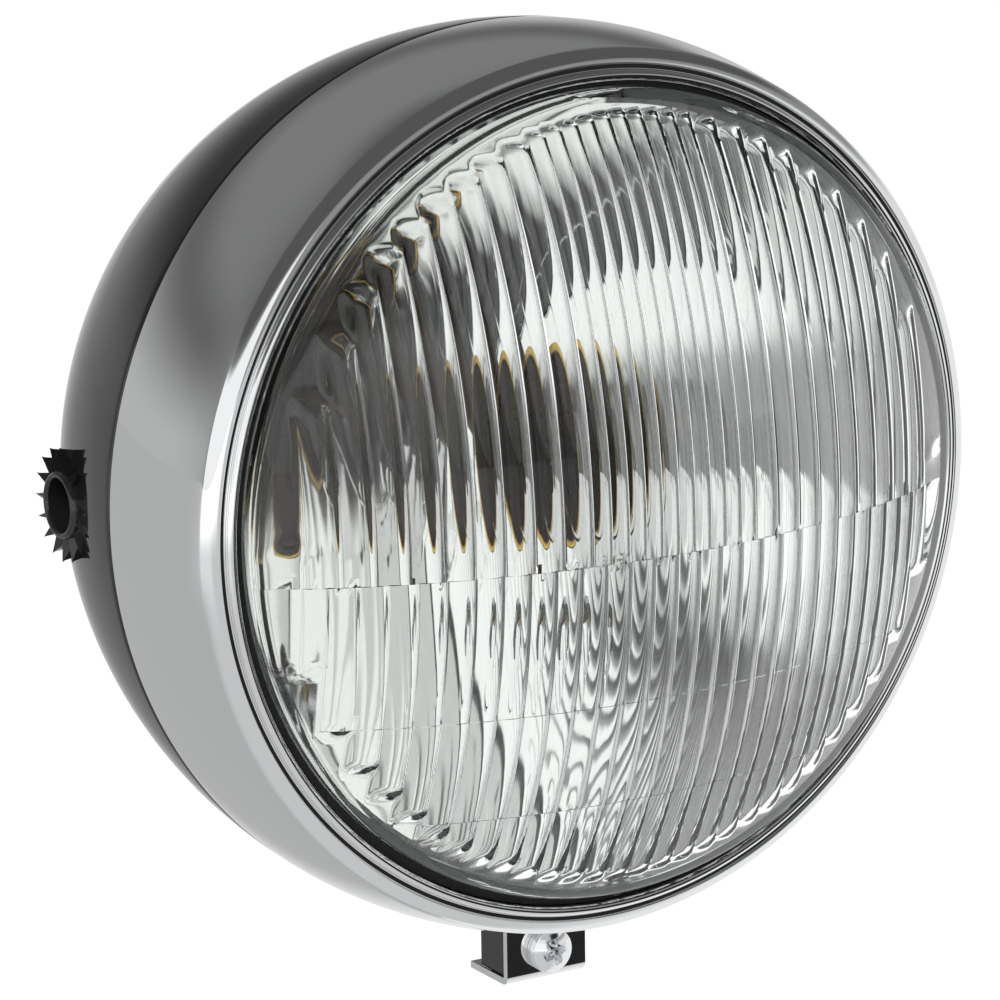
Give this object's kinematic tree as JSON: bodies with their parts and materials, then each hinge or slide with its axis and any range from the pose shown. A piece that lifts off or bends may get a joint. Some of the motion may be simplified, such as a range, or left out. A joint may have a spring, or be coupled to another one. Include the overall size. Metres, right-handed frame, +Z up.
{
  "type": "motorcycle headlight",
  "caption": "Round motorcycle headlight: black bowl with toothed side pivots, chromed trim ring clamped by a screw at the bottom, and a sealed insert with fluted glass.",
  "frame": {"origin": "middle of the pivot axis, the line through both toothed bosses, on the lamp's optical axis", "axes": "-Y the way the light leaves, +Z up, +X to the right seen from in front, along the pivot axis"},
  "size_m": [0.155, 0.137, 0.167],
  "materials": {
    "bowl": "gloss",
    "chrome": "polished",
    "zinc_steel": "zinc plated",
    "rubber": "matte",
    "glass": "clear",
    "mirror": "aluminised",
    "yellow_steel": "yellow passivated",
    "brass": "plain",
    "socket": "moulded"
  },
  "bodies": {
    "root": {"housing": "bowl", "trim_ring": "chrome", "ring_bracket": "chrome", "ring_hook": "zinc_steel", "clamp_screw": "zinc_steel", "spring_washer": "zinc_steel", "clamp_nut": "zinc_steel", "rim_gasket": "rubber", "lens": "glass", "lens_seal": "rubber", "reflector": "mirror", "insert_clips": "zinc_steel", "bulb_collar": "yellow_steel", "main_bulb": "glass", "bulb_stem": "zinc_steel", "bulb_cap": "brass", "bulb_socket": "socket", "socket_contacts": "brass", "bulb_retainer": "zinc_steel", "parking_bulb": "glass", "parking_bulb_cap": "brass", "parking_holder": "zinc_steel", "pivot_nuts": "zinc_steel", "cable_grommet": "rubber"}
  },
  "joints": []
}
